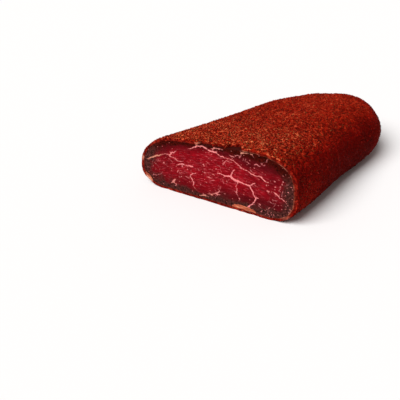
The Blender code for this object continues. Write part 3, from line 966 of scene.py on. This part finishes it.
def spice_coat():
    """The coat: inner skin, broken lip and craggy outer skin in one sealed grid of rings."""
    y = ring_distances(COAT_LIP_ROWS, COAT_SIDE_RINGS, COAT_END_RINGS)[:, None]
    angles = arc_angles(y, 0, TURN, COAT_SEGMENTS, BASE_WEIGHT)
    lip = coat_lip(angles[0])
    y_outer = y + lip * np.exp(-y / CHIP_FADE)
    smooth = smooth_surface(y_outer, angles)
    upward = outward(smooth)[..., 2]
    soft = softness(y_outer, upward)
    relief = layered_noise(smooth, PASTE_RELIEF) * (1 - SOFT_RELIEF * soft)
    outer = loaf(y_outer, angles, 0, relief)

    y = ring_distances(COAT_INNER_ROWS, *COAT_INNER_RINGS)[:, None]
    angles = arc_angles(y, 0, TURN, COAT_SEGMENTS, BASE_WEIGHT)
    inner = loaf(y + lip * np.exp(-y / CHIP_FADE), angles, coat_thickness(angles) + GAP)
    share = np.arange(1, COAT_RIM_ROWS + 1)[:, None, None] / (COAT_RIM_ROWS + 1)
    rim = inner[0] + (outer[0] - inner[0]) * share
    rim[..., 1] += RIM_RAGGED * np.clip(lattice_noise(rim, 1.3, 74), 0, 1)

    rings = np.concatenate([inner[::-1], rim, outer])
    count, around = rings.shape[:2]
    index = 1 + np.arange(count * around).reshape(count, around)
    index = np.concatenate([index, index[:, :1]], axis=1)
    index = np.concatenate([np.zeros_like(index[:1]), index, np.full_like(index[:1], count * around + 1)])
    far_tip = tip(0) + (0, relief[-1].mean(), 0)
    points = np.concatenate([[tip(COAT)], rings.reshape(-1, 3), [far_tip]])

    # Masks over all the rings: those of the outer skin are 0 on the rings before it, apart from the patches
    # of tone and painted light and shade
    hidden = len(inner) + COAT_RIM_ROWS
    rim_mask = np.zeros((count, around))
    rim_mask[:len(inner)] = 1
    rim_mask[len(inner):hidden] = np.linspace(1, 0.5, COAT_RIM_ROWS)[:, None]
    inner_line = np.zeros((count, around))
    inner_line[len(inner) - 1:len(inner) + 2] = np.array([1, 0.5, 0])[:, None]
    masks = {"rim": rim_mask, "blanched": blanched(rings, inner_line, smooth_step(0, 0.35, rim_mask))}
    skin = {
        # Partly painted light on the top, along with the dusting
        "dusting_and_top_light": smooth_step(0.72, 1, upward) * np.interp(y_outer, (0, 60, LENGTH), TOP_LIGHT_AND_DUSTING),
        # Tone with painted light and shade
        "patch_and_painted_light": tone_and_painted_light(y_outer, outer, upward),
        "soft": soft,
    }
    for name, values in {"relief": relief, **skin}.items():
        before = np.zeros((hidden, around)) + (values[0] if name == "patch_and_painted_light" else 0)
        masks[name] = np.concatenate([before, values])
    masks = {name: np.concatenate([[0], values.ravel(), [0]]) for name, values in masks.items()}
    piece = make_piece("spice_paste", points, grid_triangles(index), masks, paste_material())
    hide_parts("spice_coat")
    return outer, skin


def icosahedron():
    """Twelve corners and twenty faces, from the golden ratio."""
    golden = (1 + 5**0.5) / 2
    corners = [(-1, golden, 0), (1, golden, 0), (-1, -golden, 0), (1, -golden, 0),
               (0, -1, golden), (0, 1, golden), (0, -1, -golden), (0, 1, -golden),
               (golden, 0, -1), (golden, 0, 1), (-golden, 0, -1), (-golden, 0, 1)]
    faces = [(0, 11, 5), (0, 5, 1), (0, 1, 7), (0, 7, 10), (0, 10, 11), (1, 5, 9), (5, 11, 4),
             (11, 10, 2), (10, 7, 6), (7, 1, 8), (3, 9, 4), (3, 4, 2), (3, 2, 6), (3, 6, 8),
             (3, 8, 9), (4, 9, 5), (2, 4, 11), (6, 2, 10), (8, 6, 7), (9, 8, 1)]
    corners = np.array(corners, dtype=float)
    return corners / np.linalg.norm(corners[0]), np.array(faces)


def scatter(coat, name, count, sizes, flatness, sunk, gathered, seed, surface):
    """Seeded grains on the outer skin: squashed and dented icosahedra that lie partly sunk in it.

    gathered holds the density at the cut, at GRAIN_MIDWAY and at the far end, and the share that soft
    places lack.
    """
    outer, coat_masks = coat
    draw = np.random.default_rng(seed)
    a, b = outer[:-1], outer[1:]
    a_next, b_next = np.roll(a, -1, axis=1), np.roll(b, -1, axis=1)
    facing = np.cross(b_next - a, a_next - b)
    area = np.linalg.norm(facing, axis=-1)
    normal = facing / np.maximum(area[..., None], 1e-9)
    room = (a[..., 2] > 1) & (a[..., 1] > sizes[1]) & (normal[..., 2] > -0.9)
    density = np.interp(a[..., 1], (0, GRAIN_MIDWAY, LENGTH), gathered[:3])
    density = density * (1 - gathered[3] * coat_masks["soft"][:-1])
    chance = np.where(room, area * density, 0).ravel()
    cell = draw.choice(chance.size, count, p=chance / chance.sum())
    u, v = draw.random((2, count, 1))
    a, b, a_next, b_next, normal = (part.reshape(-1, 3)[cell] for part in (a, b, a_next, b_next, normal))
    middle = (a * (1 - u) + b * u) * (1 - v) + (a_next * (1 - u) + b_next * u) * v

    masks = {name: values[:-1].ravel()[cell] for name, values in coat_masks.items()}
    masks["tone"] = draw.random(count)
    corners, faces = icosahedron()
    size = sizes[0] + (sizes[1] - sizes[0]) * draw.random(count) ** 2
    breadth, thickness = draw.uniform(0.6, 1, count), flatness * draw.uniform(0.7, 1.3, count)
    shape = np.stack([np.ones(count), breadth, thickness], axis=-1)
    dents = draw.uniform(0.78, 1.12, (count, len(corners), 1))
    local = corners[None] * dents * (shape * size[:, None] / 2)[:, None, :]
    loose = draw.normal(size=(count, 3))
    tilted = normal + draw.normal(0, 0.35, (count, 3))
    up = tilted / np.linalg.norm(tilted, axis=1, keepdims=True)
    side = np.cross(up, loose)
    side /= np.linalg.norm(side, axis=1, keepdims=True)
    axes = np.stack([side, np.cross(up, side), up], axis=1)
    lift = (0.5 - sunk) * size * shape[:, 2] * (1 - SOFT_LIFT * masks["soft"])
    points = np.einsum("nci,nij->ncj", local, axes) + (middle + normal * lift[:, None])[:, None, :]
    points[..., 1] = np.maximum(points[..., 1], 0)
    triangles = (faces[None] + len(corners) * np.arange(count)[:, None, None]).reshape(-1, 3)
    masks = {name: np.repeat(values, len(corners)) for name, values in masks.items()}
    piece = make_piece(name, points.reshape(-1, 3), triangles, masks, surface)


def grains(coat):
    """Every kind of grain that stands out of the paste."""
    for number, (name, count, sizes, flatness, sunk, gathered, roughness, colours) in enumerate(GRAINS):
        surface = grain_material(name, colours, roughness)
        scatter(coat, name, count, sizes, flatness, sunk, gathered, GRAIN_SEED + number, surface)


def camera():
    """The photograph's camera: it looks at AIM from its angles, turned so that AIM falls on its pixel."""
    high, turn = np.radians(CAMERA_HEIGHT_ANGLE), np.radians(CAMERA_TURN)
    back = Vector((np.sin(turn) * np.cos(high), -np.cos(turn) * np.cos(high), np.sin(high)))
    right = Vector((np.cos(turn), np.sin(turn), 0))
    up = back.cross(right)
    place = Vector(place_in_frame(AIM)) + back * CAMERA_DISTANCE * MM
    centre = (PHOTO_SIZE - 1) / 2
    yaw = np.arctan((AIM_PIXEL[0] - centre) / FOCAL_PIXELS)
    pitch = np.arctan((centre - AIM_PIXEL[1]) / FOCAL_PIXELS * np.cos(yaw))
    right, back = right * np.cos(yaw) - back * np.sin(yaw), right * np.sin(yaw) + back * np.cos(yaw)
    up, back = up * np.cos(pitch) - back * np.sin(pitch), up * np.sin(pitch) + back * np.cos(pitch)
    data = bpy.data.cameras.new("camera")
    data.sensor_width = SENSOR
    data.lens = SENSOR * FOCAL_PIXELS / PHOTO_SIZE
    data.clip_start = 0.01
    made = bpy.data.objects.new("camera", data)
    made.matrix_world = Matrix.Translation(place) @ Matrix((right, up, back)).transposed().to_4x4()
    bpy.context.scene.collection.objects.link(made)
    bpy.context.scene.camera = made


def studio():
    """A pale floor, one soft key light from the front and above, and a white surround."""
    corners = [(x * FLOOR_HALF, y * FLOOR_HALF, 0.0) for x, y in ((-1, -1), (1, -1), (1, 1), (-1, 1))]
    mesh = bpy.data.meshes.new("floor")
    mesh.from_pydata(corners, [], [(0, 1, 2, 3)])
    made, tree, shader, _ = new_material("floor")
    seen = add(tree, "ShaderNodeLightPath").outputs["Is Camera Ray"]
    tree.links.new(mix(tree, seen, FLOOR_BOUNCE, FLOOR_SEEN), shader.inputs["Base Color"])
    shader.inputs["Roughness"].default_value = 0.9
    shader.inputs["Specular IOR Level"].default_value = 0
    mesh.materials.append(made)
    floor = bpy.data.objects.new("floor", mesh)
    bpy.context.scene.collection.objects.link(floor)

    light = bpy.data.lights.new("key", "SUN")
    light.energy = KEY_STRENGTH
    light.angle = np.radians(KEY_WIDTH)
    lamp = bpy.data.objects.new("key", light)
    lamp.rotation_euler = Vector(KEY_FROM).to_track_quat("Z", "Y").to_euler()
    bpy.context.scene.collection.objects.link(lamp)

    world = bpy.data.worlds.new("surround")
    world.use_nodes = True
    tree = world.node_tree
    seen = add(tree, "ShaderNodeBackground", {"Color": (1, 1, 1, 1), "Strength": SURROUND_SEEN})
    lighting = add(tree, "ShaderNodeBackground", {"Color": SURROUND_COLOUR, "Strength": SURROUND_LIGHT})
    path = add(tree, "ShaderNodeLightPath").outputs["Is Camera Ray"]
    both = add(tree, "ShaderNodeMixShader", {0: path, 1: lighting.outputs[0], 2: seen.outputs[0]})
    tree.links.new(both.outputs[0], tree.nodes["World Output"].inputs["Surface"])
    bpy.context.scene.world = world
    bpy.context.scene.view_settings.view_transform = "Standard"


camera()
studio()
dried_beef()
grains(spice_coat())
